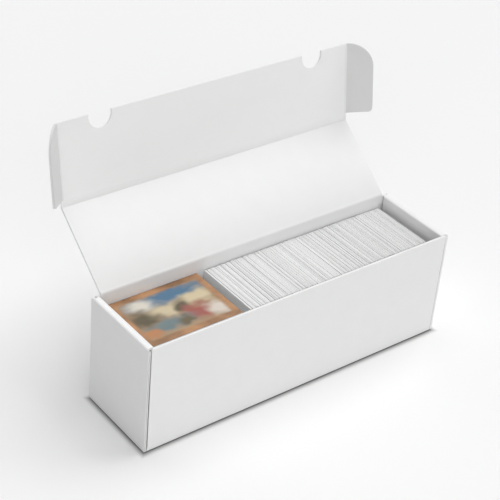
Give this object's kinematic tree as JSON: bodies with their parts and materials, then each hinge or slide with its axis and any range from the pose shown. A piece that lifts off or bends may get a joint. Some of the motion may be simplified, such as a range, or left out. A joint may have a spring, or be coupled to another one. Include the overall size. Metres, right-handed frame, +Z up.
{
  "type": "card storage box",
  "caption": "Long white folded board box with a hinged tuck lid standing open, thumb notches and end ears, filled with a row of upright cards and a flat pile.",
  "frame": {"origin": "centre of the box's underside, on the surface it stands on", "axes": "+X along the box to the right as seen from the front, +Y towards the lid's hinge at the back, +Z up"},
  "size_m": [0.3314, 0.1504, 0.2227],
  "materials": {
    "white_board": "matte white clay-coated liner",
    "inner_board": "matte white uncoated liner",
    "card_edges": "satin cut card edges",
    "card_face": "satin printed card face"
  },
  "bodies": {
    "box": {"bottom_panel": "white_board", "front_wall": "white_board", "back_wall": "white_board", "left_end_outer_wall": "white_board", "left_end_top_strip": "white_board", "left_end_inner_wall": "inner_board", "right_end_outer_wall": "white_board", "right_end_top_strip": "white_board", "right_end_inner_wall": "inner_board", "front_left_corner_tab": "inner_board", "front_right_corner_tab": "inner_board", "back_left_corner_tab": "inner_board", "back_right_corner_tab": "inner_board", "flat_card_stack_1": "card_edges", "flat_card_stack_2": "card_edges", "flat_card_stack_3": "card_edges", "flat_card_stack_4": "card_edges", "face_card": "card_face", "card_pack_01": "card_edges", "card_pack_02": "card_edges", "card_pack_03": "card_edges", "card_pack_04": "card_edges", "card_pack_05": "card_edges", "card_pack_06": "card_edges", "card_pack_07": "card_edges", "card_pack_08": "card_edges", "card_pack_09": "card_edges", "card_pack_10": "card_edges", "card_pack_11": "card_edges", "card_pack_12": "card_edges"},
    "lid": {"lid_panel": "white_board"},
    "tuck_flap": {"lid_tuck_flap": "white_board"},
    "left_ear": {"left_lid_ear": "white_board"},
    "right_ear": {"right_lid_ear": "white_board"}
  },
  "joints": [
    {"name": "lid_hinge", "type": "hinge", "parent": "box", "child": "lid", "pos_m": [0, 0.03925, 0.1033], "axis": [1, 0, 0], "range_deg": [-38.5, 131.5]},
    {"name": "flap_fold", "type": "hinge", "parent": "lid", "child": "tuck_flap", "pos_m": [0, 0.09849, 0.15042], "axis": [1, 0, 0], "range_deg": [-43, 57]},
    {"name": "left_ear_fold", "type": "hinge", "parent": "tuck_flap", "child": "left_ear", "pos_m": [-0.1476, 0.09849, 0.15042], "axis": [0, 0.1478, 0.989], "range_deg": [-33.2, 44]},
    {"name": "right_ear_fold", "type": "hinge", "parent": "tuck_flap", "child": "right_ear", "pos_m": [0.1476, 0.09849, 0.15042], "axis": [0, -0.1478, -0.989], "range_deg": [-33.2, 44]}
  ],
  "couplings": [
    {"joint": "left_ear_fold", "follows": "flap_fold", "ratio": 0.7719},
    {"joint": "right_ear_fold", "follows": "flap_fold", "ratio": 0.7719}
  ]
}
